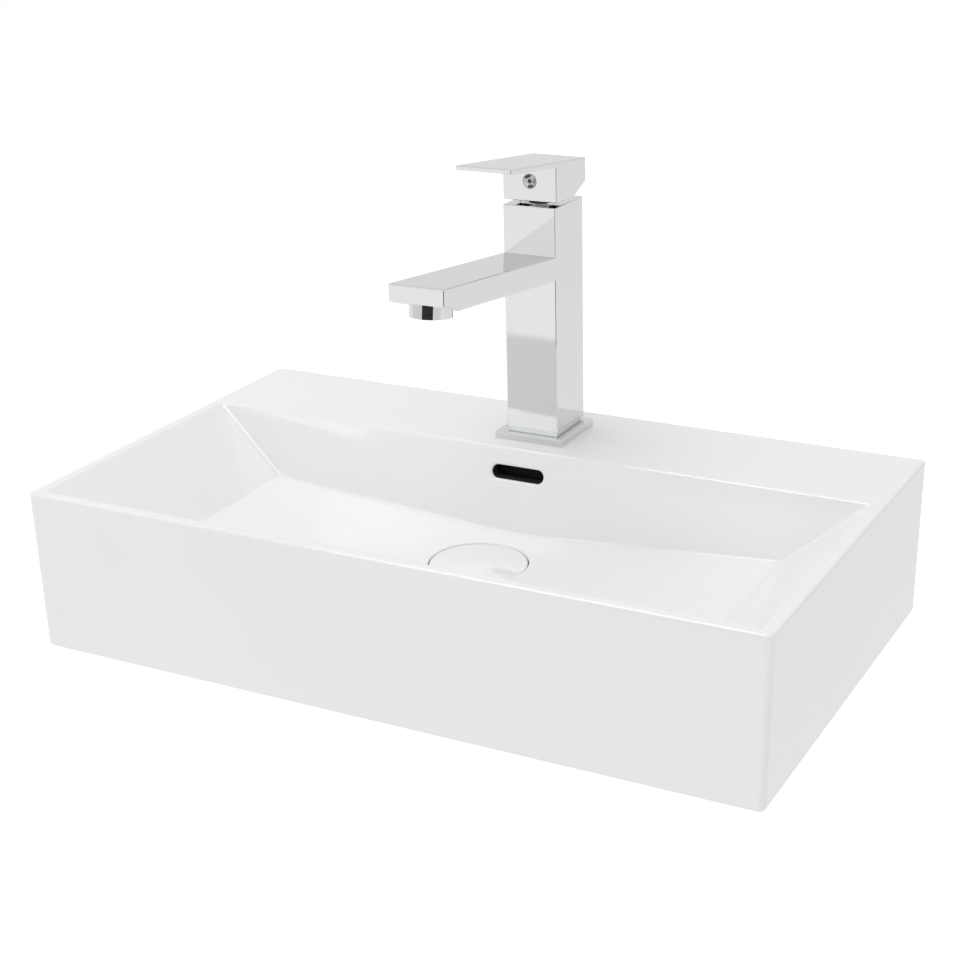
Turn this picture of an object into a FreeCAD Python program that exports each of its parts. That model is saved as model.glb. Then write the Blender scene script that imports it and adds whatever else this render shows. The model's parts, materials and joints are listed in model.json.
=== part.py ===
import FreeCAD, Part
import math
import os
import Sketcher

# Washbasin with a single-lever tap and a click waste, in millimetres.
# X runs along the wall, -Y out into the room and Z up. The wall plane is Y = 0, and the
# origin lies midway between the two wall fixings on the basin's back face.

# Driving sizes
SIZES = {
    # Basin, outside
    "basin_width": 500.0,
    "basin_depth": 290.0,
    "basin_height": 107.5,
    "side_draft": 2.3,
    "corner_round": 4.0,
    "foot_round": 3.0,
    "rim_round": 2.0,
    # Basin, bowl
    "front_rim": 7.0,
    "side_rim": 8.0,
    "deck_depth": 89.0,
    "lip_round": 1.8,
    "bowl_corner_round": 3.0,
    "crease_round": 2.2,
    "wall_foot_height": 63.5,
    "side_wall_run": 54.4,
    "back_wall_run": 10.0,
    "front_wall_run": 34.0,
    "floor_edge_radius": 260.0,
    "floor_edge_height": 68.0,
    "dish_radius": 60.0,
    "dish_height": 53.3,
    "dish_rim_height": 49.5,
    # Basin, ceramic thicknesses and underside
    "skirt_wall": 8.0,
    "side_wall_thick": 11.0,
    "end_wall_thick": 7.5,
    "floor_thick": 9.0,
    "deck_thick": 12.0,
    "hollow_round": 8.0,
    # Basin, drain seat
    "drain_setback": 150.0,
    "drain_radius": 22.5,
    "recess_radius": 32.9,
    "recess_depth": 7.7,
    "recess_round": 1.2,
    "boss_wall": 7.0,
    "boss_height": 20.5,
    # Basin, overflow
    "slot_width": 38.0,
    "slot_height": 9.0,
    "slot_rise": 90.4,
    "slot_round": 1.8,
    "duct_web": 4.0,
    "duct_width": 44.0,
    "duct_depth": 7.0,
    "duct_wall": 5.0,
    "duct_rise": 26.5,
    "duct_headroom": 1.6,
    "duct_throat": 12.0,
    # Basin, wall fixings and tap hole
    "fixing_rise": 62.5,
    "fixing_spacing": 280.0,
    "fixing_radius": 7.0,
    "tap_hole_radius": 17.5,
    "tap_setback": 50.7,
    # Waste, body and its seals
    "tube_radius": 20.95,
    "tube_wall": 3.45,
    "tube_length": 85.0,
    "relief_gap": 0.5,
    "relief_width": 2.0,
    "relief_depth": 0.8,
    "flange_radius": 31.0,
    "flange_thick": 2.2,
    "flange_chamfer": 1.2,
    "seat_chamfer": 1.5,
    "flange_seal_thick": 1.5,
    "seal_radius": 30.0,
    "tube_gap": 0.3,
    "gasket_thick": 4.0,
    "slip_thick": 2.0,
    "slip_radius": 29.0,
    "lock_nut_corner": 27.7,
    "lock_nut_flange": 29.0,
    "lock_nut_flange_thick": 2.5,
    "lock_nut_height": 9.0,
    "window_width": 12.0,
    "window_height": 10.0,
    "window_drop": 7.0,
    "window_count": 4,
    "spider_drop": 29.7,
    "spider_thick": 4.0,
    "spider_arm": 4.0,
    "hub_radius": 5.5,
    # Waste, click works
    "core_radius": 3.0,
    "core_foot_radius": 6.0,
    "core_foot_thick": 1.5,
    "core_head_radius": 4.2,
    "core_head_height": 3.0,
    "core_reach": 25.0,
    "sleeve_radius": 8.5,
    "sleeve_fit": 0.08,
    "sleeve_well_radius": 6.6,
    "sleeve_well_depth": 9.0,
    "sleeve_roof": 1.7,
    "sleeve_head_gap": 0.5,
    "plug_travel": 8.0,
    "cam_height": 2.5,
    "cam_gap": 0.3,
    "cam_notch": 1.2,
    "cam_notch_count": 8,
    "spring_wire": 0.8,
    "spring_radius": 4.9,
    "spring_turns": 5,
    # Waste, plug and cap
    "plug_neck_radius": 15.0,
    "plug_lip_radius": 16.4,
    "plug_plate_radius": 20.0,
    "plug_plate_thick": 1.8,
    "plug_plate_gap": 0.4,
    "plug_seal_height": 1.8,
    "plug_seal_gap": 0.3,
    "cap_radius": 32.2,
    "cap_edge": 2.4,
    "cap_crown": 1.5,
    "cap_gap": 0.8,
    "cap_round": 0.9,
    # Tap, column and base
    "column_width": 38.0,
    "column_front": 18.0,
    "column_back": 23.0,
    "column_height": 159.7,
    "plate_width": 50.0,
    "plate_thick": 5.0,
    "plate_round": 0.8,
    "plate_hole_radius": 15.5,
    "plate_seal_radius": 22.0,
    "plate_seal_width": 5.0,
    "plate_seal_thick": 1.2,
    "neck_height": 1.7,
    "neck_inset": 1.6,
    # Tap, spout and its jet
    "spout_top": 127.6,
    "spout_thick": 15.5,
    "spout_reach": 148.0,
    "spout_rise_angle": 6.0,
    "spout_bevel_run": 17.0,
    "spout_bevel_rise": 4.6,
    "spout_round": 0.9,
    "channel_height": 7.0,
    "channel_width": 24.0,
    "channel_end": 1.5,
    "jet_setback": 17.0,
    "jet_collar_radius": 13.2,
    "jet_collar_drop": 5.0,
    "jet_collar_seam": 1.0,
    "jet_thread_radius": 10.9,
    "jet_thread_height": 5.5,
    "jet_bore_radius": 9.3,
    "jet_lip": 1.0,
    "jet_lip_height": 1.5,
    "jet_hole_radius": 0.9,
    "jet_ring_radius": 3.3,
    "jet_ring_count": 6,
    "jet_washer_bore": 7.0,
    "jet_washer_thick": 1.5,
    # Tap, water ways and what clamps it
    "port_side": 5.5,
    "port_back": 3.5,
    "port_radius": 2.0,
    "outlet_front": 6.5,
    "outlet_radius": 2.5,
    "inlet_radius": 3.5,
    "inlet_depth": 12.0,
    "inlet_block_radius": 14.5,
    "inlet_block_height": 14.0,
    "stud_radius": 4.0,
    "stud_front": 9.0,
    "stud_depth": 12.0,
    "stud_drop": 48.0,
    "shoe_radius": 20.0,
    "shoe_slot": 26.0,
    "shoe_web": 6.0,
    "shoe_gasket_thick": 3.0,
    "shoe_thick": 2.0,
    "stud_hole_gap": 0.4,
    "stud_nut_corner": 7.5,
    "stud_nut_height": 22.0,
    # Cartridge
    "chamber_floor": 130.0,
    "chamber_radius": 14.2,
    "cartridge_radius": 13.9,
    "cartridge_bore": 12.2,
    "cartridge_neck": 11.2,
    "cartridge_neck_bore": 9.9,
    "cartridge_shoulder": 151.0,
    "cartridge_top": 156.5,
    "cartridge_seal_thick": 1.2,
    "cartridge_base_thick": 3.0,
    "disc_thick": 3.0,
    "fixed_disc_radius": 12.0,
    "moving_disc_radius": 8.8,
    "disc_film": 0.05,
    "disc_groove_width": 5.0,
    "disc_groove_depth": 1.5,
    "slider_height": 4.0,
    "slider_pocket_side": 0.3,
    "slider_pocket_travel": 0.8,
    "slider_floor": 1.2,
    "carrier_gap": 0.3,
    "carrier_top_drop": 0.5,
    "carrier_slot_half": 6.4,
    "pivot_height": 152.0,
    "stem_side": 6.0,
    "stem_top": 178.5,
    "stem_foot_gap": 0.8,
    "pin_radius": 1.25,
    "pin_length": 18.0,
    "pin_fit": 0.05,
    "ring_nut_height": 5.8,
    "ring_nut_gap": 0.2,
    "dome_bore": 8.2,
    "dome_drop": 0.3,
    "dome_lip": 1.0,
    # Lever handle
    "lever_width": 38.8,
    "block_bottom": 162.7,
    "block_front": 16.5,
    "block_back": 27.0,
    "block_height": 21.9,
    "block_chamfer_start": 11.0,
    "block_chamfer_rise": 6.4,
    "blade_reach": 62.5,
    "blade_angle": 6.4,
    "blade_tip_thick": 3.0,
    "blade_root_thick": 3.6,
    "lever_round": 0.8,
    "core_wall": 3.3,
    "core_depth": 13.0,
    "hub_wall": 3.4,
    "grub_height": 13.0,
    "grub_radius": 2.5,
    "grub_length": 7.0,
    "grub_key": 2.5,
    "grub_key_depth": 2.5,
    "button_radius": 4.9,
    "button_thick": 3.2,
    "button_proud": 0.6,
    # One overrun for every cut that has to break through a face
    "overrun": 2.0,
}


# Sizes that carry both their number and the spreadsheet expression they come from
class Size:
    def __init__(self, value, text):
        self.value = value
        self.text = text

    def joined(self, sign, other, value):
        return Size(value, "(" + self.text + " " + sign + " " + other.text + ")")

    def __add__(self, other):
        other = sized(other)
        return self.joined("+", other, self.value + other.value)

    def __radd__(self, other):
        return sized(other) + self

    def __sub__(self, other):
        other = sized(other)
        return self.joined("-", other, self.value - other.value)

    def __rsub__(self, other):
        return sized(other) - self

    def __mul__(self, other):
        other = sized(other)
        return self.joined("*", other, self.value * other.value)

    def __rmul__(self, other):
        return sized(other) * self

    def __truediv__(self, other):
        other = sized(other)
        return self.joined("/", other, self.value / other.value)

    def __neg__(self):
        return Size(-self.value, "(-" + self.text + ")")


def sized(number):
    if isinstance(number, Size):
        return number
    return Size(float(number), repr(float(number)))


def tangent(angle):
    return Size(math.tan(math.radians(angle.value)), "tan(" + angle.text + ")")


def sine(angle):
    return Size(math.sin(math.radians(angle.value)), "sin(" + angle.text + ")")


def cosine(angle):
    return Size(math.cos(math.radians(angle.value)), "cos(" + angle.text + ")")


ZERO = sized(0)

doc = FreeCAD.newDocument("washbasin")
sheet = doc.addObject("Spreadsheet::Sheet", "Sizes")
for row, (name, value) in enumerate(SIZES.items(), start=1):
    sheet.set("A" + str(row), name)
    sheet.set("B" + str(row), str(value))
    sheet.setAlias("B" + str(row), name)
doc.recompute()


class Named:
    pass


s = Named()
for name, value in SIZES.items():
    setattr(s, name, Size(value, "Sizes." + name))


# Steps shared by the pieces
def bind(thing, target, size):
    thing.setExpression(target, sized(size).text)


def new_body(name):
    made = doc.addObject("PartDesign::Body", name)
    made.Label = name
    return made


def origin_part(body, role):
    for feature in body.Origin.OriginFeatures:
        if feature.Role == role:
            return feature
    raise ValueError(role)


def new_sketch(body, name, plane, offset=ZERO):
    sketch = body.newObject("Sketcher::SketchObject", name)
    sketch.AttachmentSupport = (origin_part(body, plane), "")
    sketch.MapMode = "FlatFace"
    offset = sized(offset)
    shift = FreeCAD.Vector(0, 0, offset.value)
    sketch.AttachmentOffset = FreeCAD.Placement(shift, FreeCAD.Rotation())
    bind(sketch, ".AttachmentOffset.Base.z", offset)
    return sketch


def pin_corner(sketch, index, point):
    """Holds the start of one edge at its two distances from the sketch's axes."""
    for kind, axis, size in (("DistanceX", -2, point[0]), ("DistanceY", -1, point[1])):
        if size.text == ZERO.text:
            sketch.addConstraint(Sketcher.Constraint("PointOnObject", index, 1, axis))
            continue
        held = sketch.addConstraint(Sketcher.Constraint(kind, -1, 1, index, 1, size.value))
        bind(sketch, "Constraints[" + str(held) + "]", size)


def draw_outline(sketch, points, domed=(), rounds=None):
    """Closed outline through the points. Edges named in domed are arcs centred on the V axis.

    Edges named in rounds are arcs that turn left round the centre given there.
    """
    rounds = rounds or {}
    points = [(sized(p[0]), sized(p[1])) for p in points]
    count = len(points)
    first = sketch.GeometryCount
    for i in range(count):
        x0, y0 = points[i][0].value, points[i][1].value
        x1, y1 = points[(i + 1) % count][0].value, points[(i + 1) % count][1].value
        if i in domed:
            middle = (x1 * x1 + y1 * y1 - x0 * x0 - y0 * y0) / (2 * (y1 - y0))
            radius = math.hypot(x0, y0 - middle)
            circle = Part.Circle(FreeCAD.Vector(0, middle, 0), FreeCAD.Vector(0, 0, 1), radius)
            start, end = math.atan2(y0 - middle, x0), math.atan2(y1 - middle, x1)
            index = sketch.addGeometry(Part.ArcOfCircle(circle, start, end), False)
            sketch.addConstraint(Sketcher.Constraint("PointOnObject", index, 3, -2))
        elif i in rounds:
            across, up = rounds[i][0].value, rounds[i][1].value
            radius = math.hypot(x0 - across, y0 - up)
            circle = Part.Circle(FreeCAD.Vector(across, up, 0), FreeCAD.Vector(0, 0, 1), radius)
            start, end = math.atan2(y0 - up, x0 - across), math.atan2(y1 - up, x1 - across)
            index = sketch.addGeometry(Part.ArcOfCircle(circle, start, end), False)
            held = sketch.addConstraint(Sketcher.Constraint("DistanceY", -1, 1, index, 3, up))
            bind(sketch, "Constraints[" + str(held) + "]", rounds[i][1])
        else:
            line = Part.LineSegment(FreeCAD.Vector(x0, y0, 0), FreeCAD.Vector(x1, y1, 0))
            sketch.addGeometry(line, False)
    for i in range(count):
        sketch.addConstraint(Sketcher.Constraint("Coincident", first + i, 2, first + (i + 1) % count, 1))
    for i in range(count):
        pin_corner(sketch, first + i, points[i])
    return sketch


def box_outline(x0, y0, x1, y1):
    return [(x0, y0), (x1, y0), (x1, y1), (x0, y1)]


def pad(body, sketch, length, both_ways=False):
    made = body.newObject("PartDesign::Pad", sketch.Name + "_pad")
    made.Profile = sketch
    if both_ways:
        made.SideType = "Symmetric"
    bind(made, "Length", length)
    return made


def pocket(body, sketch, length, both_ways=False, reverse=False):
    made = body.newObject("PartDesign::Pocket", sketch.Name + "_pocket")
    made.Profile = sketch
    if both_ways:
        made.SideType = "Symmetric"
    made.Reversed = reverse
    bind(made, "Length", length)
    return made


def revolve(body, sketch, cut=False):
    kind = "Groove" if cut else "Revolution"
    made = body.newObject("PartDesign::" + kind, sketch.Name + "_turned")
    made.Profile = sketch
    made.ReferenceAxis = (sketch, ["V_Axis"])
    made.Angle = 360
    return made


TURNS = {
    "Z": FreeCAD.Rotation(),
    "Y": FreeCAD.Rotation(FreeCAD.Vector(1, 0, 0), -90),
    "X": FreeCAD.Rotation(FreeCAD.Vector(0, 1, 0), 90),
}


def set_place(thing, place, rotation=None):
    place = [sized(p) for p in place]
    shift = FreeCAD.Vector(*[p.value for p in place])
    thing.Placement = FreeCAD.Placement(shift, rotation or FreeCAD.Rotation())
    for letter, size in zip("xyz", place):
        bind(thing, ".Placement.Base." + letter, size)


def cylinder(body, name, place, radius, length, along="Z", cut=False):
    kind = "Subtractive" if cut else "Additive"
    made = body.newObject("PartDesign::" + kind + "Cylinder", name)
    bind(made, "Radius", radius)
    bind(made, "Height", length)
    set_place(made, place, TURNS[along])
    return made


def block(body, name, low, sides, cut=False):
    kind = "Subtractive" if cut else "Additive"
    made = body.newObject("PartDesign::" + kind + "Box", name)
    for target, size in zip(("Length", "Width", "Height"), sides):
        bind(made, target, size)
    set_place(made, low)
    return made


def hexagon(body, name, place, corner, height):
    made = body.newObject("PartDesign::AdditivePrism", name)
    made.Polygon = 6
    bind(made, "Circumradius", corner)
    bind(made, "Height", height)
    set_place(made, place)
    return made


def around(body, feature, count):
    made = body.newObject("PartDesign::PolarPattern", feature.Name + "_around")
    made.Originals = [feature]
    made.Axis = (origin_part(body, "Z_Axis"), [""])
    made.Angle = 360
    bind(made, "Occurrences", count)
    body.Tip = made
    return made


def ease(body, name, base, wanted, size, kind="Fillet"):
    """Rounds or chamfers each edge of base that the test wanted accepts."""
    doc.recompute()
    names = ["Edge" + str(i) for i, edge in enumerate(base.Shape.Edges, start=1) if wanted(edge)]
    if not names:
        raise ValueError(name + " finds no edge")
    made = body.newObject("PartDesign::" + kind, name)
    made.Base = (base, names)
    bind(made, "Radius" if kind == "Fillet" else "Size", size)
    return made


def near(a, b):
    return abs(a - b) < 1e-3


def marks(edge):
    """The edge's start, middle and end."""
    first, last = edge.ParameterRange
    return [edge.valueAt(first + (last - first) * share) for share in (0, 0.5, 1)]


def spread(values):
    values = list(values)
    return max(values) - min(values)


def level(edge, height):
    """True if the edge lies at one height."""
    return all(near(point.z, height) for point in marks(edge))


def upright(edge):
    points = marks(edge)
    across = max(spread(p.x for p in points), spread(p.y for p in points))
    return spread(p.z for p in points) > 10 * across


def combine(body, name, kind, tools):
    made = body.newObject("PartDesign::Boolean", name)
    made.Type = kind
    made.setObjects(tools)
    return made


def turned_piece(name, points, place, domed=()):
    """A body turned round its own Z axis from an outline of (radius, height) points."""
    body = new_body(name)
    revolve(body, draw_outline(new_sketch(body, name + "_outline", "XZ_Plane"), points, domed))
    set_place(body, place)
    return body


# Places that several pieces share, in the part's own frame
def above_ground(height):
    """Z of a height that is measured up from the basin's ground bottom edge."""
    return height - s.fixing_rise


def from_drain(point):
    return math.hypot(point.x, point.y + s.drain_setback.value)


deck_z = above_ground(s.basin_height)
seat_height = s.dish_rim_height - s.recess_depth
drain = (ZERO, -s.drain_setback, above_ground(seat_height))
tap_axis = (ZERO, -s.tap_setback, deck_z)


# Basin
def bowl_reach(height, side_grow, end_grow):
    """Where the bowl's walls stand at one height above the ground edge: sides, front and back."""
    fallen = (s.basin_height - height) / (s.basin_height - s.wall_foot_height)
    half = s.basin_width / 2 - s.side_rim - s.side_wall_run * fallen + side_grow
    front = s.front_rim - s.basin_depth + s.front_wall_run * fallen - end_grow
    back = -s.deck_depth - s.back_wall_run * fallen + end_grow
    return half, front, back


def floor_profile(drop):
    """What lies under the bowl's floor, round the drain axis, lowered by drop."""
    low = above_ground(ZERO)
    slope = (s.floor_edge_height - s.dish_height) / (s.floor_edge_radius - s.dish_radius)
    reach = s.basin_width
    return [
        (ZERO, low),
        (reach, low),
        (reach, above_ground(s.dish_height + slope * (reach - s.dish_radius) - drop)),
        (s.dish_radius, above_ground(s.dish_height - drop)),
        (s.recess_radius + s.recess_round, above_ground(s.dish_rim_height - drop)),
        (ZERO, above_ground(s.dish_rim_height - drop)),
    ]


def bowl_walls(body, name, top, side_grow, end_grow):
    """The bowl's four sloping walls as one wedge, from below its floor to the height top."""
    wedge = body.newObject("PartDesign::AdditiveWedge", name)
    foot = seat_height - s.floor_thick
    for label, height in (("", foot), ("2", top)):
        half, front, back = bowl_reach(height, side_grow, end_grow)
        bind(wedge, "X" + label + "min", -half)
        bind(wedge, "X" + label + "max", half)
        bind(wedge, "Z" + label + "min", -back)
        bind(wedge, "Z" + label + "max", -front)
    bind(wedge, "Ymin", above_ground(foot))
    bind(wedge, "Ymax", above_ground(top))
    upended = FreeCAD.Rotation(FreeCAD.Vector(1, 0, 0), 90)
    wedge.Placement = FreeCAD.Placement(FreeCAD.Vector(), upended)
    return wedge


def cut_floor(body, name, drop):
    sketch = new_sketch(body, name + "_floor", "XZ_Plane", s.drain_setback)
    draw_outline(sketch, floor_profile(drop))
    return revolve(body, sketch, cut=True)


def bowl_space():
    body = new_body("bowl_space")
    walls = bowl_walls(body, "bowl_space_walls", s.basin_height + s.overrun, ZERO, ZERO)

    def wall_corner(edge):
        return spread(p.z for p in marks(edge)) > s.basin_height.value / 3

    ease(body, "bowl_corners", walls, wall_corner, s.bowl_corner_round)
    floor = cut_floor(body, "bowl_space", ZERO)
    wall_foot = above_ground(s.floor_edge_height).value
    floor_rim = above_ground(s.dish_rim_height).value
    recess_clear = (s.dish_radius.value + s.recess_radius.value) / 2

    def crease(edge):
        points = marks(edge)
        low = all(floor_rim < p.z < wall_foot for p in points)
        return low and all(from_drain(p) > recess_clear for p in points)

    ease(body, "bowl_creases", floor, crease, s.crease_round)
    return body


def bowl_form():
    body = new_body("bowl_form")
    top = s.basin_height - s.rim_round
    bowl_walls(body, "bowl_form_walls", top, s.side_wall_thick, s.end_wall_thick)
    cut_floor(body, "bowl_form", s.floor_thick)
    return body


def drain_boss():
    body = new_body("drain_boss")
    cylinder(body, "drain_puck", (ZERO, -s.drain_setback, above_ground(s.boss_height)),
             s.recess_radius + s.boss_wall, s.dish_rim_height - s.boss_height)
    return body


def duct_outline(grow):
    """The overflow duct from the side: down behind the bowl, then forward to the drain."""
    front = s.duct_web - s.deck_depth
    back = front + s.duct_depth
    top = above_ground(s.slot_rise + s.slot_height / 2 + s.duct_headroom)
    floor = above_ground(s.duct_rise)
    throat = floor + s.duct_throat
    return [
        (-s.drain_setback, floor - grow),
        (back + grow, floor - grow),
        (back + grow, top + grow),
        (front - grow, top + grow),
        (front - grow, throat + grow),
        (-s.drain_setback, throat + grow),
    ]


def duct_body(name, grow):
    body = new_body(name)
    sketch = draw_outline(new_sketch(body, name + "_side", "YZ_Plane"), duct_outline(grow))
    pad(body, sketch, s.duct_width + 2 * grow, both_ways=True)
    return body


def underside():
    """The open space inside the skirt, round the bowl's own shell."""
    body = new_body("underside")
    half = s.basin_width / 2 - s.side_draft - s.skirt_wall
    sketch = new_sketch(body, "underside_plan", "XY_Plane", above_ground(-s.overrun))
    draw_outline(sketch, box_outline(-half, s.skirt_wall - s.basin_depth, half, -s.skirt_wall))
    space = pad(body, sketch, s.basin_height - s.deck_thick + s.overrun)
    ease(body, "underside_corners", space, upright, s.hollow_round)
    shells = [bowl_form(), drain_boss(), duct_body("duct_shell", s.duct_wall)]
    combine(body, "underside_rest", "Cut", shells)
    return body


def drain_space():
    """The recess that the waste's flange lies in, with its round lip, and the hole below it."""
    body = new_body("drain_space")
    foot = above_ground(s.boss_height - s.overrun)
    seat = above_ground(seat_height)
    rim = above_ground(s.dish_rim_height)
    top = above_ground(s.dish_height)
    lip_radius = s.recess_radius + s.recess_round
    lip_foot = rim - s.recess_round
    sketch = new_sketch(body, "drain_outline", "XZ_Plane", s.drain_setback)
    draw_outline(sketch, [
        (ZERO, top),
        (lip_radius, top),
        (lip_radius, rim),
        (s.recess_radius, lip_foot),
        (s.recess_radius, seat),
        (s.drain_radius, seat),
        (s.drain_radius, foot),
        (ZERO, foot),
    ], rounds={2: (lip_radius, lip_foot)})
    revolve(body, sketch)
    return body


def slot_space():
    """The overflow slot: a round-ended hole from the bowl into the duct."""
    body = new_body("slot_space")
    radius = s.slot_height / 2
    half = s.slot_width / 2 - radius
    start = -s.deck_depth - s.back_wall_run
    length = s.duct_web + s.back_wall_run + s.duct_depth / 2
    height = above_ground(s.slot_rise)
    block(body, "slot_middle", (-half, start, height - radius),
          (2 * half, length, s.slot_height))
    for label, x in (("slot_left", -half), ("slot_right", half)):
        cylinder(body, label, (x, start, height), radius, length, along="Y")
    return body


def hole_tools():
    tap = new_body("tap_hole")
    cylinder(tap, "tap_hole_round", (ZERO, -s.tap_setback, deck_z - s.deck_thick - s.overrun),
             s.tap_hole_radius, s.deck_thick + 2 * s.overrun)
    made = [tap]
    for label, side in (("left_fixing", -1), ("right_fixing", 1)):
        fixing = new_body(label)
        place = (side * s.fixing_spacing / 2, -s.skirt_wall - s.overrun, ZERO)
        cylinder(fixing, label + "_round", place, s.fixing_radius, s.skirt_wall + 2 * s.overrun,
                 along="Y")
        made.append(fixing)
    return made


def basin():
    body = new_body("basin")
    half_top = s.basin_width / 2
    half_foot = half_top - s.side_draft
    elevation = draw_outline(new_sketch(body, "basin_elevation", "XZ_Plane"), [
        (-half_foot, above_ground(ZERO)),
        (half_foot, above_ground(ZERO)),
        (half_top, deck_z),
        (-half_top, deck_z),
    ])
    solid = pad(body, elevation, s.basin_depth)
    solid = ease(body, "basin_corners", solid, upright, s.corner_round)
    ground_z = above_ground(ZERO).value
    solid = ease(body, "basin_foot_edge", solid, lambda e: level(e, ground_z), s.foot_round)
    solid = ease(body, "basin_rim_edge", solid, lambda e: level(e, deck_z.value), s.rim_round)
    spaces = [underside(), bowl_space(), drain_space(), duct_body("duct_space", ZERO), slot_space()]
    solid = combine(body, "basin_spaces", "Cut", spaces + hole_tools())
    side = (half_top - s.side_rim / 2).value
    front = (s.front_rim / 2 - s.basin_depth).value
    back = (s.tap_hole_radius / 2 - s.deck_depth).value

    def on_bowl_lip(edge):
        inside = all(abs(p.x) < side and front < p.y < back for p in marks(edge))
        return level(edge, deck_z.value) and inside

    def on_slot_lip(edge):
        low = above_ground(s.slot_rise - s.slot_height).value
        high = (deck_z - s.lip_round).value
        wall_top = -s.deck_depth.value
        wall_foot = wall_top - s.back_wall_run.value
        across = all(abs(p.x) < s.slot_width.value for p in marks(edge))
        return across and all(wall_foot < p.y < wall_top and low < p.z < high for p in marks(edge))

    solid = ease(body, "bowl_lip", solid, on_bowl_lip, s.lip_round)
    ease(body, "slot_lip", solid, on_slot_lip, s.slot_round)
    return body


# Waste: flanged tube and what seals and clamps it
flange_foot = s.flange_seal_thick
flange_top = flange_foot + s.flange_thick
tube_bore = s.tube_radius - s.tube_wall
tube_end = flange_foot - s.tube_length
boss_foot = s.boss_height - seat_height
lock_nut_foot = boss_foot - s.gasket_thick - s.slip_thick - s.lock_nut_height
relief_top = lock_nut_foot - s.relief_gap
relief_foot = relief_top - s.relief_width
spider_top = flange_top - s.spider_drop


def waste_body():
    body = turned_piece("waste_body", [
        (tube_bore, tube_end),
        (s.tube_radius, tube_end),
        (s.tube_radius, relief_foot),
        (s.tube_radius - s.relief_depth, relief_foot),
        (s.tube_radius - s.relief_depth, relief_top),
        (s.tube_radius, relief_top),
        (s.tube_radius, flange_foot),
        (s.flange_radius, flange_foot),
        (s.flange_radius, flange_top - s.flange_chamfer),
        (s.flange_radius - s.flange_chamfer, flange_top),
        (tube_bore + s.seat_chamfer, flange_top),
        (tube_bore, flange_top - s.seat_chamfer),
    ], drain)
    window_foot = -s.window_drop - s.window_height
    window = block(body, "overflow_window", (-s.window_width / 2, ZERO, window_foot),
                   (s.window_width, s.tube_radius + s.overrun, s.window_height), cut=True)
    around(body, window, s.window_count)
    reach = tube_bore + s.tube_wall / 2
    spider_foot = spider_top - s.spider_thick
    block(body, "spider_across", (-reach, -s.spider_arm / 2, spider_foot),
          (2 * reach, s.spider_arm, s.spider_thick))
    block(body, "spider_along", (-s.spider_arm / 2, -reach, spider_foot),
          (s.spider_arm, 2 * reach, s.spider_thick))
    cylinder(body, "spider_hub", (ZERO, ZERO, spider_foot), s.hub_radius, s.spider_thick)
    cylinder(body, "spider_thread", (ZERO, ZERO, spider_foot - s.overrun), s.core_radius,
             s.spider_thick + 2 * s.overrun, cut=True)
    return body


def ring(name, place, bore, radius, low, high):
    return turned_piece(name, [(bore, low), (radius, low), (radius, high), (bore, high)], place)


def waste_seals():
    bore = s.tube_radius + s.tube_gap
    ring("flange_seal", drain, bore, s.seal_radius, ZERO, s.flange_seal_thick)
    gasket_foot = boss_foot - s.gasket_thick
    ring("under_gasket", drain, bore, s.seal_radius, gasket_foot, boss_foot)
    slip_foot = gasket_foot - s.slip_thick
    ring("slip_washer", drain, bore, s.slip_radius, slip_foot, gasket_foot)
    nut = new_body("lock_nut")
    hexagon(nut, "lock_nut_hexagon", (ZERO, ZERO, lock_nut_foot), s.lock_nut_corner, s.lock_nut_height)
    cylinder(nut, "lock_nut_rim", (ZERO, ZERO, slip_foot - s.lock_nut_flange_thick), s.lock_nut_flange,
             s.lock_nut_flange_thick)
    cylinder(nut, "lock_nut_thread", (ZERO, ZERO, lock_nut_foot - s.overrun), s.tube_radius,
             s.lock_nut_height + 2 * s.overrun, cut=True)
    set_place(nut, drain)


# Waste: click works. Heights run up from the flange's seat in the ceramic.
core_foot = spider_top - s.spider_thick
core_floor = spider_top + s.core_foot_thick
core_head = spider_top + s.core_reach - s.core_head_height
core_top = spider_top + s.core_reach
sleeve_roof_foot = core_top + s.sleeve_head_gap
sleeve_top = sleeve_roof_foot + s.sleeve_roof
sleeve_step = core_head - s.plug_travel - s.cam_gap * 3
sleeve_foot = sleeve_step - s.sleeve_well_depth
cam_top = sleeve_step - s.cam_gap
cam_foot = cam_top - s.cam_height
plate_foot = flange_top + s.plug_plate_gap
plate_top = plate_foot + s.plug_plate_thick
cap_foot = flange_top + s.cap_gap


def click_core():
    return turned_piece("click_core", [
        (ZERO, core_foot),
        (s.core_radius, core_foot),
        (s.core_radius, spider_top),
        (s.core_foot_radius, spider_top),
        (s.core_foot_radius, core_floor),
        (s.core_radius, core_floor),
        (s.core_radius, core_head),
        (s.core_head_radius, core_head),
        (s.core_head_radius, core_top),
        (ZERO, core_top),
    ], drain)


def click_sleeve():
    bore = s.core_head_radius + s.sleeve_fit
    return turned_piece("click_sleeve", [
        (s.sleeve_well_radius, sleeve_foot),
        (s.sleeve_radius, sleeve_foot),
        (s.sleeve_radius, sleeve_top),
        (s.core_radius, sleeve_top),
        (s.core_radius, plate_foot),
        (ZERO, plate_foot),
        (ZERO, sleeve_roof_foot),
        (bore, sleeve_roof_foot),
        (bore, sleeve_step),
        (s.sleeve_well_radius, sleeve_step),
    ], drain)


def click_cam():
    bore = s.core_radius + s.cam_gap
    radius = s.sleeve_well_radius - s.cam_gap
    body = ring("click_cam", drain, bore, radius, cam_foot, cam_top)
    notch_foot = cam_top - s.cam_height / 2
    notch = block(body, "cam_notch_cut", (-s.cam_notch / 2, radius - s.cam_notch, notch_foot),
                  (s.cam_notch, s.cam_notch + s.overrun, s.cam_height), cut=True)
    around(body, notch, s.cam_notch_count)
    return body


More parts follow.
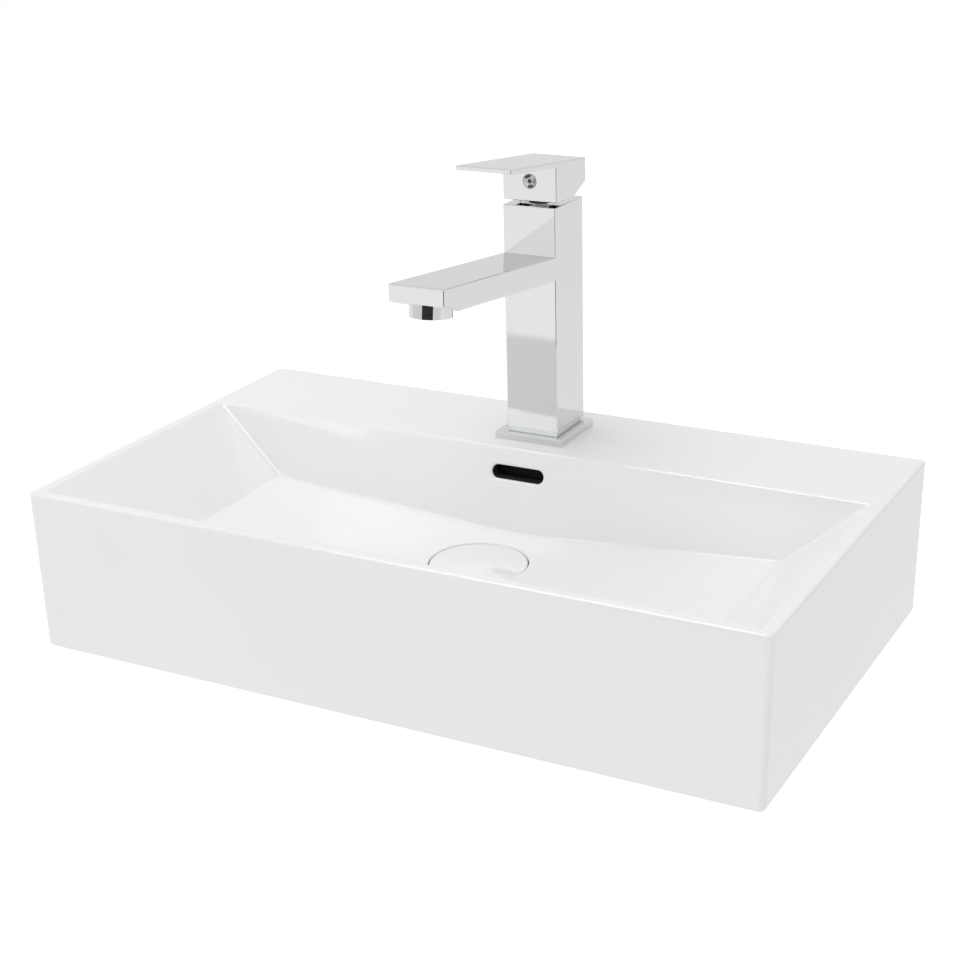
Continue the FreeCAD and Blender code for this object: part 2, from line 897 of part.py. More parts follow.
def click_spring():
    body = new_body("click_spring")
    low = core_floor + s.spring_wire / 2
    high = cam_foot - s.cam_gap - s.spring_wire / 2
    sketch = new_sketch(body, "spring_wire_round", "XZ_Plane")
    wire = Part.Circle(FreeCAD.Vector(s.spring_radius.value, low.value, 0), FreeCAD.Vector(0, 0, 1),
                       s.spring_wire.value / 2)
    index = sketch.addGeometry(wire, False)
    centre = (-1, 1, index, 3)
    for kind, ends, size in (("DistanceX", centre, s.spring_radius), ("DistanceY", centre, low),
                             ("Radius", (index,), s.spring_wire / 2)):
        held = sketch.addConstraint(Sketcher.Constraint(kind, *ends, size.value))
        bind(sketch, "Constraints[" + str(held) + "]", size)
    coil = body.newObject("PartDesign::AdditiveHelix", "spring_coil")
    coil.Profile = sketch
    coil.ReferenceAxis = (sketch, ["V_Axis"])
    coil.Mode = "height-turns-angle"
    bind(coil, "Height", high - low)
    bind(coil, "Turns", s.spring_turns)
    set_place(body, drain)
    return body


def plug_disc():
    seal_foot = plate_foot - s.plug_plate_gap - s.plug_seal_height
    lip_foot = sleeve_top
    return turned_piece("plug_disc", [
        (s.core_radius, lip_foot),
        (s.plug_lip_radius, lip_foot),
        (s.plug_lip_radius, seal_foot),
        (s.plug_neck_radius, seal_foot),
        (s.plug_neck_radius, plate_foot),
        (s.plug_plate_radius, plate_foot),
        (s.plug_plate_radius, plate_top),
        (ZERO, plate_top),
        (ZERO, plate_foot),
        (s.core_radius, plate_foot),
    ], drain)


def plug_seal():
    high = flange_top
    low = high - s.plug_seal_height
    return ring("plug_seal", drain, s.plug_neck_radius, tube_bore - s.plug_seal_gap, low, high)


def waste_cap():
    edge_top = cap_foot + s.cap_edge
    body = turned_piece("waste_cap", [
        (s.plug_plate_radius, cap_foot),
        (s.cap_radius, cap_foot),
        (s.cap_radius, edge_top),
        (ZERO, edge_top + s.cap_crown),
        (ZERO, plate_top),
        (s.plug_plate_radius, plate_top),
    ], drain, domed=(2,))
    doc.recompute()

    def outer_edge(edge):
        across = [math.hypot(p.x, p.y) for p in marks(edge)]
        return level(edge, edge_top.value) and near(max(across), s.cap_radius.value)

    ease(body, "cap_edge_round", body.Tip, outer_edge, s.cap_round)
    return body


# Tap: base, column and spout. Heights run up from the deck, on the column's axis.
column_foot = s.plate_thick + s.neck_height


def base_plate():
    body = new_body("base_plate")
    half = s.plate_width / 2
    sketch = new_sketch(body, "plate_plan", "XY_Plane")
    plate = pad(body, draw_outline(sketch, box_outline(-half, -half, half, half)), s.plate_thick)
    plate = ease(body, "plate_corners", plate, upright, s.plate_round)
    ease(body, "plate_edge", plate, lambda e: level(e, s.plate_thick.value), s.plate_round)
    cylinder(body, "plate_hole", (ZERO, ZERO, -s.overrun), s.plate_hole_radius,
             s.plate_thick + 2 * s.overrun, cut=True)
    cylinder(body, "plate_recess", (ZERO, ZERO, -s.overrun), s.plate_seal_radius,
             s.plate_seal_thick + s.overrun, cut=True)
    set_place(body, tap_axis)
    ring("base_gasket", tap_axis, s.plate_seal_radius - s.plate_seal_width, s.plate_seal_radius,
         ZERO, s.plate_seal_thick)


def column_neck():
    body = new_body("column_neck")
    half = s.column_width / 2 - s.neck_inset
    sketch = new_sketch(body, "neck_plan", "XY_Plane", s.plate_thick)
    plan = box_outline(-half, s.neck_inset - s.column_front, half, s.column_back - s.neck_inset)
    pad(body, draw_outline(sketch, plan), s.neck_height)
    cylinder(body, "neck_hole", (ZERO, ZERO, s.plate_thick - s.overrun), s.plate_hole_radius,
             s.neck_height + 2 * s.overrun, cut=True)
    set_place(body, tap_axis)


def spout_line(y, below):
    """Height at y of a line below the spout's top face and parallel to it."""
    risen = tangent(s.spout_rise_angle) * (-s.column_front - y)
    return s.spout_top + risen - below / cosine(s.spout_rise_angle)


jet_y = s.jet_setback - s.column_front - s.spout_reach
jet_place = (ZERO, jet_y, spout_line(jet_y, s.spout_thick))
spout_tilt = FreeCAD.Rotation(FreeCAD.Vector(1, 0, 0), -s.spout_rise_angle.value)


def tilt(thing):
    thing.Placement = FreeCAD.Placement(thing.Placement.Base, spout_tilt)
    thing.setExpression(".Placement.Rotation.Angle", "-" + s.spout_rise_angle.text + " * 1 deg")


def jet_point(height):
    """A point on the jet's tilted axis, height above the spout's underside."""
    return (ZERO, jet_place[1] + sine(s.spout_rise_angle) * height,
            jet_place[2] + cosine(s.spout_rise_angle) * height)


def tap_body():
    body = new_body("tap_body")
    half = s.column_width / 2
    plan = draw_outline(new_sketch(body, "column_plan", "XY_Plane", column_foot),
                        box_outline(-half, -s.column_front, half, s.column_back))
    pad(body, plan, s.column_height - column_foot)
    tip = -s.column_front - s.spout_reach
    bevel = tip + s.spout_bevel_run
    side = draw_outline(new_sketch(body, "spout_side", "YZ_Plane"), [
        (ZERO, spout_line(ZERO, s.spout_thick)),
        (ZERO, spout_line(ZERO, ZERO)),
        (tip, spout_line(tip, ZERO)),
        (tip, spout_line(tip, s.spout_thick) + s.spout_bevel_rise),
        (bevel, spout_line(bevel, s.spout_thick)),
    ])
    spout = pad(body, side, s.column_width, both_ways=True)

    def outer_edge(edge):
        points = marks(edge)
        tip_edge = all(p.y < bevel.value + s.spout_round.value for p in points)
        long_edge = spread(p.y for p in points) > s.spout_reach.value / 2
        faces = (-s.column_front.value, s.column_back.value)
        corner = upright(edge) and any(near(points[1].y, y) for y in faces)
        head = level(edge, s.column_height.value)
        return tip_edge or long_edge or corner or head

    ease(body, "tap_edges", spout, outer_edge, s.spout_round)
    boss = cylinder(body, "jet_boss", jet_point(-s.jet_collar_seam), s.jet_collar_radius,
                    s.jet_collar_seam + s.spout_thick / 3)
    tilt(boss)
    middle = (s.spout_thick - s.channel_height) / 2
    channel = draw_outline(new_sketch(body, "channel_side", "YZ_Plane"), [
        (-s.channel_end, spout_line(-s.channel_end, middle + s.channel_height)),
        (-s.channel_end, spout_line(-s.channel_end, middle)),
        (jet_y, spout_line(jet_y, middle)),
        (jet_y, spout_line(jet_y, middle + s.channel_height)),
    ])
    pocket(body, channel, s.channel_width, both_ways=True)
    bore = cylinder(body, "jet_bore", jet_point(-s.jet_collar_seam - s.overrun), s.jet_thread_radius,
                    s.jet_collar_seam + s.overrun + s.jet_thread_height + s.jet_washer_thick, cut=True)
    tilt(bore)
    cylinder(body, "chamber", (ZERO, ZERO, s.chamber_floor), s.chamber_radius,
             s.column_height - s.chamber_floor + s.overrun, cut=True)
    outlet_foot = spout_line(-s.outlet_front, s.spout_thick / 2)
    cylinder(body, "outlet_drop", (ZERO, -s.outlet_front, outlet_foot), s.outlet_radius,
             s.chamber_floor - outlet_foot + s.overrun, cut=True)
    cut_risers(body, s.chamber_floor - column_foot)
    cylinder(body, "inlet_block_seat", (ZERO, ZERO, column_foot - s.overrun), s.inlet_block_radius,
             s.inlet_block_height + s.overrun, cut=True)
    set_place(body, tap_axis)


def cut_risers(body, length):
    """The two supply ways, up from the column's foot."""
    for label, side in (("left", -1), ("right", 1)):
        place = (side * s.port_side, s.port_back, column_foot - s.overrun)
        cylinder(body, body.Label + "_" + label + "_riser", place, s.port_radius,
                 length + 2 * s.overrun, cut=True)


def inlet_block():
    """The round plug in the column's foot that takes both supply ends and the mounting stud."""
    body = new_body("inlet_block")
    cylinder(body, "inlet_block_round", (ZERO, ZERO, column_foot), s.inlet_block_radius,
             s.inlet_block_height)
    cut_risers(body, s.inlet_block_height)
    below = column_foot - s.overrun
    for label, side in (("left", -1), ("right", 1)):
        cylinder(body, label + "_inlet", (side * s.port_side, s.port_back, below), s.inlet_radius,
                 s.inlet_depth + s.overrun, cut=True)
    cylinder(body, "stud_socket", (ZERO, -s.stud_front, below), s.stud_radius,
             s.stud_depth + s.overrun, cut=True)
    set_place(body, tap_axis)


def jet_pieces():
    """The jet former: a collar screwed into the spout, its perforated insert and a washer."""
    place = (ZERO, tap_axis[1] + jet_place[1], tap_axis[2] + jet_place[2])
    drop = -s.jet_collar_drop
    lip_top = drop + s.jet_lip_height
    housing = turned_piece("aerator_housing", [
        (s.jet_bore_radius - s.jet_lip, drop),
        (s.jet_collar_radius, drop),
        (s.jet_collar_radius, -s.jet_collar_seam),
        (s.jet_thread_radius, -s.jet_collar_seam),
        (s.jet_thread_radius, s.jet_thread_height),
        (s.jet_bore_radius, s.jet_thread_height),
        (s.jet_bore_radius, lip_top),
        (s.jet_bore_radius - s.jet_lip, lip_top),
    ], place)
    insert = turned_piece("aerator_insert", [
        (ZERO, lip_top),
        (s.jet_bore_radius, lip_top),
        (s.jet_bore_radius, s.jet_thread_height),
        (ZERO, s.jet_thread_height),
    ], place)
    through = s.jet_thread_height - lip_top + 2 * s.overrun
    cylinder(insert, "jet_middle", (ZERO, ZERO, lip_top - s.overrun), s.jet_hole_radius, through,
             cut=True)
    for label, share in (("jet_inner", 1), ("jet_outer", 2)):
        hole = cylinder(insert, label, (share * s.jet_ring_radius, ZERO, lip_top - s.overrun),
                        s.jet_hole_radius, through, cut=True)
        around(insert, hole, share * s.jet_ring_count)
    washer = ring("aerator_washer", place, s.jet_washer_bore, s.jet_thread_radius, s.jet_thread_height,
                  s.jet_thread_height + s.jet_washer_thick)
    for piece in (housing, insert, washer):
        tilt(piece)


def shoe(name, low, thick):
    """A horseshoe plate under the deck, open at the back for the supply ends."""
    body = new_body(name)
    cylinder(body, name + "_round", (ZERO, ZERO, low), s.shoe_radius, thick)
    block(body, name + "_mouth", (-s.shoe_slot / 2, s.shoe_web - s.stud_front, low - s.overrun),
          (s.shoe_slot, s.shoe_radius + s.stud_front, thick + 2 * s.overrun), cut=True)
    cylinder(body, name + "_stud_hole", (ZERO, -s.stud_front, low - s.overrun),
             s.stud_radius + s.stud_hole_gap, thick + 2 * s.overrun, cut=True)
    set_place(body, tap_axis)


def clamp_pieces():
    gasket_foot = -s.deck_thick - s.shoe_gasket_thick
    shoe_foot = gasket_foot - s.shoe_thick
    shoe("horseshoe_gasket", gasket_foot, s.shoe_gasket_thick)
    shoe("horseshoe_washer", shoe_foot, s.shoe_thick)
    stud = new_body("mounting_stud")
    cylinder(stud, "stud_rod", (ZERO, -s.stud_front, -s.stud_drop), s.stud_radius,
             s.stud_drop + column_foot + s.stud_depth)
    set_place(stud, tap_axis)
    nut = new_body("stud_nut")
    nut_foot = shoe_foot - s.stud_nut_height
    hexagon(nut, "stud_nut_hexagon", (ZERO, -s.stud_front, nut_foot), s.stud_nut_corner,
            s.stud_nut_height)
    cylinder(nut, "stud_nut_thread", (ZERO, -s.stud_front, nut_foot - s.overrun), s.stud_radius,
             s.stud_nut_height + 2 * s.overrun, cut=True)
    set_place(nut, tap_axis)


# Cartridge: heights run up from the deck, on the column's axis
base_foot = s.chamber_floor + s.cartridge_seal_thick
disc_foot = base_foot + s.cartridge_base_thick
moving_foot = disc_foot + s.disc_thick + s.disc_film
slider_foot = moving_foot + s.disc_thick
slider_top = slider_foot + s.slider_height
carrier_foot = slider_top + s.carrier_gap
carrier_top = s.cartridge_top - s.carrier_top_drop
half_stem = s.stem_side / 2


def ported(body, name, low, thick):
    """Cuts the two supply ports and the outlet port through a round plate."""
    places = ((-s.port_side, s.port_back, s.port_radius), (s.port_side, s.port_back, s.port_radius),
              (ZERO, -s.outlet_front, s.outlet_radius))
    for number, (x, y, radius) in enumerate(places, start=1):
        cylinder(body, name + "_port_" + str(number), (x, y, low - s.overrun), radius,
                 thick + 2 * s.overrun, cut=True)


def cartridge_plates():
    for name, low, radius, thick in (
            ("cartridge_seal", s.chamber_floor, s.fixed_disc_radius, s.cartridge_seal_thick),
            ("cartridge_base", base_foot, s.cartridge_radius, s.cartridge_base_thick),
            ("fixed_disc", disc_foot, s.fixed_disc_radius, s.disc_thick)):
        body = new_body(name)
        cylinder(body, name + "_round", (ZERO, ZERO, low), radius, thick)
        ported(body, name, low, thick)
        set_place(body, tap_axis)


def moving_pieces():
    """The upper disc, with a groove that leads from its back edge to the outlet, and its slider."""
    disc = new_body("moving_disc")
    cylinder(disc, "moving_disc_round", (ZERO, ZERO, moving_foot), s.moving_disc_radius, s.disc_thick)
    groove_length = s.outlet_front + s.moving_disc_radius
    block(disc, "moving_disc_groove",
          (-s.disc_groove_width / 2, -s.outlet_front, moving_foot - s.overrun),
          (s.disc_groove_width, groove_length, s.disc_groove_depth + s.overrun), cut=True)
    set_place(disc, tap_axis)
    slider = new_body("disc_slider")
    cylinder(slider, "slider_round", (ZERO, ZERO, slider_foot), s.moving_disc_radius, s.slider_height)
    side = half_stem + s.slider_pocket_side
    way = half_stem + s.slider_pocket_travel
    block(slider, "slider_pocket", (-side, -way, slider_foot + s.slider_floor),
          (2 * side, 2 * way, s.slider_height), cut=True)
    set_place(slider, tap_axis)


def disc_carrier():
    step = s.cartridge_shoulder - s.carrier_gap
    roof = step - s.carrier_gap
    body = turned_piece("disc_carrier", [
        (ZERO, carrier_foot),
        (s.cartridge_bore - s.carrier_gap, carrier_foot),
        (s.cartridge_bore - s.carrier_gap, roof),
        (s.cartridge_neck_bore - s.carrier_gap, roof),
        (s.cartridge_neck_bore - s.carrier_gap, carrier_top),
        (ZERO, carrier_top),
    ], tap_axis)
    side = half_stem + s.carrier_gap
    block(body, "carrier_slot", (-side, -s.carrier_slot_half, carrier_foot - s.overrun),
          (2 * side, 2 * s.carrier_slot_half, carrier_top - carrier_foot + 2 * s.overrun), cut=True)
    cylinder(body, "carrier_pin_hole", (-s.pin_length / 2, ZERO, s.pivot_height), s.pin_radius,
             s.pin_length, along="X", cut=True)
    pin = new_body("stem_pin")
    cylinder(pin, "pin_rod", (-s.pin_length / 2, ZERO, s.pivot_height), s.pin_radius, s.pin_length,
             along="X")
    set_place(pin, tap_axis)


def cartridge_shell():
    step = s.cartridge_shoulder - s.carrier_gap
    turned_piece("cartridge_housing", [
        (s.cartridge_bore, disc_foot),
        (s.cartridge_radius, disc_foot),
        (s.cartridge_radius, s.cartridge_shoulder),
        (s.cartridge_neck, s.cartridge_shoulder),
        (s.cartridge_neck, s.cartridge_top),
        (s.cartridge_neck_bore, s.cartridge_top),
        (s.cartridge_neck_bore, step),
        (s.cartridge_bore, step),
    ], tap_axis)
    nut_top = s.cartridge_shoulder + s.ring_nut_height
    nut_bore = s.cartridge_neck + s.ring_nut_gap
    ring("cartridge_nut", tap_axis, nut_bore, s.chamber_radius, s.cartridge_shoulder, nut_top)
    dome_top = s.column_height - s.dome_drop
    turned_piece("dome_cover", [
        (nut_bore, nut_top),
        (s.chamber_radius, nut_top),
        (s.chamber_radius, dome_top - s.dome_lip),
        (s.chamber_radius - s.dome_lip, dome_top),
        (s.dome_bore, dome_top),
        (s.dome_bore, dome_top - s.dome_lip),
        (nut_bore, dome_top - s.dome_lip),
    ], tap_axis)


def lever_stem():
    body = new_body("lever_stem")
    foot = slider_foot + s.slider_floor + s.stem_foot_gap
    block(body, "stem_bar", (-half_stem, -half_stem, foot),
          (s.stem_side, s.stem_side, s.stem_top - foot))
    cylinder(body, "stem_pin_hole", (-s.stem_side, ZERO, s.pivot_height), s.pin_radius + s.pin_fit,
             2 * s.stem_side, along="X", cut=True)
    set_place(body, tap_axis)


# Lever handle: a hollow block with a flat blade that rises to its tip
def lever_handle():
    body = new_body("lever_handle")
    slope = tangent(s.blade_angle)
    back_top = s.block_bottom + s.block_height
    tip = -s.block_front - s.blade_reach

    def top_at(y):
        return back_top + slope * (s.block_back - y)

    side = draw_outline(new_sketch(body, "lever_side", "YZ_Plane"), [
        (-s.block_front, s.block_bottom),
        (s.block_chamfer_start, s.block_bottom),
        (s.block_back, s.block_bottom + s.block_chamfer_rise),
        (s.block_back, back_top),
        (tip, top_at(tip)),
        (tip, top_at(tip) - s.blade_tip_thick),
        (-s.block_front, top_at(-s.block_front) - s.blade_root_thick),
    ])
    form = pad(body, side, s.lever_width, both_ways=True)
    root_z = (top_at(-s.block_front) - s.blade_root_thick).value
    ease(body, "lever_edges", form, lambda e: not level(e, root_z), s.lever_round)
    half = s.lever_width / 2 - s.core_wall
    hub = half_stem + s.hub_wall
    front = s.core_wall - s.block_front
    back = s.block_back - s.core_wall
    core = new_sketch(body, "lever_core", "XY_Plane", s.block_bottom)
    draw_outline(core, [(-half, front), (-hub, front), (-hub, hub), (hub, hub), (hub, front),
                        (half, front), (half, back), (-half, back)])
    pocket(body, core, s.core_depth, reverse=True)
    block(body, "stem_socket", (-half_stem, -half_stem, s.block_bottom - s.overrun),
          (s.stem_side, s.stem_side, s.stem_top - s.block_bottom + s.overrun), cut=True)
    grub_z = s.block_bottom + s.grub_height
    cylinder(body, "grub_hole", (ZERO, -s.block_front - s.overrun, grub_z), s.grub_radius,
             s.block_front + s.overrun, along="Y", cut=True)
    cylinder(body, "button_recess", (ZERO, -s.block_front - s.overrun, grub_z), s.button_radius,
             s.button_thick + s.overrun, along="Y", cut=True)
    set_place(body, tap_axis)
    grub = new_body("grub_screw")
    start = -half_stem - s.grub_length
    cylinder(grub, "grub_rod", (ZERO, start, grub_z), s.grub_radius, s.grub_length, along="Y")
    cylinder(grub, "grub_key_hole", (ZERO, start - s.overrun, grub_z), s.grub_key / 2,
             s.grub_key_depth + s.overrun, along="Y", cut=True)
    set_place(grub, tap_axis)
    button = new_body("index_button")
    cylinder(button, "button_round", (ZERO, -s.block_front - s.button_proud, grub_z), s.button_radius,
             s.button_thick + s.button_proud, along="Y")
    doc.recompute()
    face_y = (-s.block_front - s.button_proud).value
    ease(button, "button_edge", button.Tip, lambda e: all(near(p.y, face_y) for p in marks(e)),
         s.button_proud)
    set_place(button, tap_axis)


NODES = [
    "basin", "waste_body", "flange_seal", "under_gasket", "slip_washer", "lock_nut", "click_core",
    "click_sleeve", "click_cam", "click_spring", "plug_disc", "plug_seal", "waste_cap",
    "base_plate", "base_gasket", "column_neck", "tap_body", "inlet_block", "aerator_housing",
    "aerator_insert", "aerator_washer", "horseshoe_gasket", "horseshoe_washer", "mounting_stud",
    "stud_nut",
    "cartridge_seal", "cartridge_base", "fixed_disc", "moving_disc", "disc_slider", "disc_carrier",
    "stem_pin", "cartridge_housing", "cartridge_nut", "dome_cover", "lever_stem", "lever_handle",
    "grub_screw", "index_button",
]


def build():
    basin()
    waste_body()
    waste_seals()
    click_core()
    click_sleeve()
    click_cam()
    click_spring()
    plug_disc()
    plug_seal()
    waste_cap()
    base_plate()
    column_neck()
    tap_body()
    inlet_block()
    jet_pieces()
    clamp_pieces()
    cartridge_plates()
    moving_pieces()
    disc_carrier()
    cartridge_shell()
    lever_stem()
    lever_handle()
    doc.recompute()


def check():
    for thing in doc.Objects:
        if "Invalid" in thing.State or "Error" in thing.State:
            raise RuntimeError(thing.Name + " is " + str(thing.State))
    for name in NODES:
        shape = doc.getObject(name).Shape
        if shape.isNull() or not shape.isValid() or not shape.Solids:
            raise RuntimeError(name + " has no sound solid")


def write():
    os.makedirs("parts", exist_ok=True)
    for name in NODES:
        shape = doc.getObject(name).Shape
        shape.exportStep("parts/" + name + ".step")
        box = shape.optimalBoundingBox()
        print(name, len(shape.Solids), round(shape.Volume, 1), [round(v, 2) for v in (
            box.XMin, box.XMax, box.YMin, box.YMax, box.ZMin, box.ZMax)])


build()
check()
write()
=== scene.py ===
# %% [markdown]
# # A washbasin with a lever tap
#
# This lesson dresses a wall-hung ceramic basin, its square chrome tap and its click waste. The solids
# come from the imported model, one mesh for each real piece, and they stay where they are. Here each
# finish is built from shader nodes, the small button on the lever is modelled again by hand, and a
# plain studio is set up round the lot. Lengths are in metres, and MM turns millimetres into them. X
# runs along the wall, -Y comes out into the room and Z is up, with the origin on the wall between the
# two fixings.

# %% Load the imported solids
import bpy
import json
import math
from mathutils import Matrix, Vector


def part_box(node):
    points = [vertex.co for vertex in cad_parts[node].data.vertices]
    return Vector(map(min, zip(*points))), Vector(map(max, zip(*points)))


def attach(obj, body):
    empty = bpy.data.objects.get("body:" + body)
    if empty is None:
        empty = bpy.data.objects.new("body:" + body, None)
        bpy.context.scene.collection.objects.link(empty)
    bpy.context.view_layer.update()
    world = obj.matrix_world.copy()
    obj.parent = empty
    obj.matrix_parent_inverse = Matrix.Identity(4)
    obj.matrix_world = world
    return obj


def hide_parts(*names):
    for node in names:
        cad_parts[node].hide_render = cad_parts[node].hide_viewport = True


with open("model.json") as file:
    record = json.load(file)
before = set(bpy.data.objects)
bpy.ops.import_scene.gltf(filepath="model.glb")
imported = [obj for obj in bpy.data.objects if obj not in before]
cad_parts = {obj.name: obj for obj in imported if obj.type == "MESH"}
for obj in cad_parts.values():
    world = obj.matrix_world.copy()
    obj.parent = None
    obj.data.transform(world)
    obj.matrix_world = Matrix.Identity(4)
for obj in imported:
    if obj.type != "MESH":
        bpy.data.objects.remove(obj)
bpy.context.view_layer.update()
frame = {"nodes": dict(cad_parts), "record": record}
MM = 0.001
basin_low, basin_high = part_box("basin")

# %% [markdown]
# ## The camera
#
# The picture was taken from the right of the basin and a little above it, with a longish lens. The
# place and the turn of the camera were worked out from the basin's straight edges, whose far ends
# draw together as they run away. They are written as a place and three directions: right, up and back.

# %% Set the camera
camera_data = bpy.data.cameras.new("product_camera")
camera_data.sensor_width = 36.0
camera_data.lens = 70.6
camera_data.clip_start = 50 * MM
camera = bpy.data.objects.new("product_camera", camera_data)
bpy.context.scene.collection.objects.link(camera)
camera_place = Vector((540.21, -1137.55, 472.36)) * MM
camera_right = Vector((0.88267, 0.46931, -0.02531))
camera_up = Vector((-0.14614, 0.32523, 0.93427))
camera_back = Vector((0.44669, -0.82096, 0.35566))
turn = Matrix((camera_right, camera_up, camera_back)).transposed()
camera.matrix_world = Matrix.LocRotScale(camera_place, turn.to_quaternion(), None)
bpy.context.scene.camera = camera
bpy.context.scene.view_settings.view_transform = "Standard"
basin_middle = (basin_low + basin_high) / 2
print("camera stands", round((camera_place - basin_middle).length, 2), "m from the basin")

# %% [markdown]
# ## Colours and nodes
#
# Paint charts and pictures give colours as sRGB hex codes, while Blender's shaders work in linear
# light. One function turns the one into the other. A second function adds a shader node, sets it and
# wires it, so that each finish below reads as a short list of nodes. A third starts a material, whose
# patterns all read the point on the object, so that they stay with a piece that moves.


# %% Three helpers for finishes
def from_hex(code):
    """A linear colour with alpha from an sRGB code such as F4F4F2."""
    parts = [int(code[i:i + 2], 16) / 255 for i in (0, 2, 4)]
    linear = [c / 12.92 if c <= 0.04045 else ((c + 0.055) / 1.055) ** 2.4 for c in parts]
    return (*linear, 1.0)


def add_node(tree, kind, settings=None, values=None, links=None):
    """Adds a node, sets its properties and socket values, and links its inputs."""
    made = tree.nodes.new("ShaderNode" + kind)
    for name, value in (settings or {}).items():
        setattr(made, name, value)
    for name, value in (values or {}).items():
        made.inputs[name].default_value = value
    for name, source in (links or {}).items():
        tree.links.new(source, made.inputs[name])
    return made


def new_finish(name):
    """An empty material with its node tree and the point on the object, in metres."""
    finish = bpy.data.materials.new(name)
    finish.use_nodes = True
    tree = finish.node_tree
    tree.nodes.clear()
    point = add_node(tree, "TexCoord").outputs["Object"]
    return finish, tree, point


print("sRGB 808080 is", round(from_hex("808080")[0], 3), "in linear light")

# %% [markdown]
# ## Where the basin has no glaze, and the duct's painted shade
#
# Two places on the basin have no bright glaze. The ground rim underneath and the back, which goes against
# the wall, are bare fired clay. The overflow's slot and the duct behind it are raw and lie in deep shade, so
# they look black from outside. That shade is painted into their colour as near black. Painting a mask by
# hand would need a flat layout of the basin. Here both are picked out by where the point lies, with a few
# sums on its coordinates. The painted shade starts a little behind the bowl's sloping back wall, inside the
# slot's rounded lip, and the clay is the skin of the basin's lowest and rearmost faces.

# %% Pick out the duct's painted shade and the bare clay
DUCT_HALF_WIDTH = 22.5 * MM
DUCT_BACK = -77.6 * MM
DUCT_FOOT = -36.5 * MM
DUCT_TOP = 36.5 * MM
BACK_WALL_TOP = Vector((0, -89.0, 45.0)) * MM
BACK_WALL_SLOPE = 10.0 / 44.0
SLOT_LIP = 1.4 * MM
CLAY_SKIN = 0.3 * MM
FAR = 1000 * MM


def between(tree, value, low, high):
    """1 where the value lies between low and high, and 0 elsewhere."""
    above = add_node(tree, "Math", settings={"operation": "GREATER_THAN"}, values={1: low}, links={0: value})
    below = add_node(tree, "Math", settings={"operation": "LESS_THAN"}, values={1: high}, links={0: value})
    return add_node(tree, "Math", settings={"operation": "MULTIPLY"},
                    links={0: above.outputs[0], 1: below.outputs[0]}).outputs[0]


glaze, tree, point = new_finish("vitreous_china_white_glaze")
place = add_node(tree, "SeparateXYZ", links={"Vector": point})
fallen = add_node(tree, "Math", settings={"operation": "MULTIPLY"}, values={1: -BACK_WALL_SLOPE},
                  links={0: place.outputs["Z"]})
behind = add_node(tree, "Math", settings={"operation": "ADD"},
                  links={0: place.outputs["Y"], 1: fallen.outputs[0]}).outputs[0]
wall = BACK_WALL_TOP.y - BACK_WALL_SLOPE * BACK_WALL_TOP.z
# The duct mask marks where the deep shade inside the slot and duct is painted in as a near-black colour.
inside = [between(tree, place.outputs["X"], -DUCT_HALF_WIDTH, DUCT_HALF_WIDTH),
          between(tree, place.outputs["Y"], -FAR, DUCT_BACK),
          between(tree, place.outputs["Z"], DUCT_FOOT, DUCT_TOP),
          between(tree, behind, wall + SLOT_LIP, FAR)]
duct_painted_shade = inside[0]
for test in inside[1:]:
    duct_painted_shade = add_node(tree, "Math", settings={"operation": "MULTIPLY"},
                       links={0: duct_painted_shade, 1: test}).outputs[0]
ground = add_node(tree, "Math", settings={"operation": "LESS_THAN"}, values={1: basin_low.z + CLAY_SKIN},
                  links={0: place.outputs["Z"]})
rear = add_node(tree, "Math", settings={"operation": "GREATER_THAN"}, values={1: basin_high.y - CLAY_SKIN},
                links={0: place.outputs["Y"]})
bare = add_node(tree, "Math", settings={"operation": "MAXIMUM"},
                links={0: ground.outputs[0], 1: rear.outputs[0]}).outputs[0]
print("clay shows below", round((basin_low.z + CLAY_SKIN) / MM, 1), "mm")

# %% [markdown]
# ## White glaze
#
# The basin and the waste's cap are vitreous china: clay fired hard, under a white glaze that melts to glass.
# Glass over white gives a bright body colour with sharp, weak reflections. The glaze is never quite even:
# its white and its gloss change by a hair from place to place, and a noise for each does that. The raw
# places are matt, and the clay is a little warmer than the glaze. The duct is painted nearly black as
# painted shade, for the deep shade inside it.

# %% Colour and gloss of the glaze
WHITE_STEP = 120 * MM
GLOSS_STEP = 50 * MM
RAW_ROUGHNESS = 0.75
tone = add_node(tree, "TexNoise", values={"Scale": 1 / WHITE_STEP, "Detail": 2.0}, links={"Vector": point})
tint = add_node(tree, "ValToRGB", links={"Fac": tone.outputs["Fac"]})
tint.color_ramp.elements[0].position = 0.3
tint.color_ramp.elements[0].color = from_hex("F8F8F8")
tint.color_ramp.elements[1].position = 0.7
tint.color_ramp.elements[1].color = from_hex("FAFAFA")
clay = add_node(tree, "Mix", settings={"data_type": "RGBA"}, values={"B": from_hex("E4DFD6")},
                links={"Factor": bare, "A": tint.outputs["Color"]})
# Painted shade: the slot and duct are coloured near black for the deep shade inside them.
colour = add_node(tree, "Mix", settings={"data_type": "RGBA"}, values={"B": from_hex("141414")},
                  links={"Factor": duct_painted_shade, "A": clay.outputs["Result"]})
gloss = add_node(tree, "TexNoise", values={"Scale": 1 / GLOSS_STEP, "Detail": 3.0}, links={"Vector": point})
polish = add_node(tree, "MapRange", values={"To Min": 0.05, "To Max": 0.11},
                  links={"Value": gloss.outputs["Fac"]})
raw = add_node(tree, "Math", settings={"operation": "MAXIMUM"}, links={0: bare, 1: duct_painted_shade})
matt = add_node(tree, "Math", settings={"operation": "MULTIPLY"}, values={1: RAW_ROUGHNESS},
                links={0: raw.outputs[0]})
roughness = add_node(tree, "Math", settings={"operation": "MAXIMUM"},
                     links={0: polish.outputs["Result"], 1: matt.outputs[0]})
print("glaze changes its gloss every", round(GLOSS_STEP / MM), "mm")

# %% [markdown]
# ## Waves in the glaze
#
# Glaze pools as it melts, which shows as slow waves in the reflections, some 35 mm apart and a few
# hundredths of a millimetre high, and as a finer orange peel. Two noises make them as bump, one on top
# of the other, so the basin's mesh stays as it is.

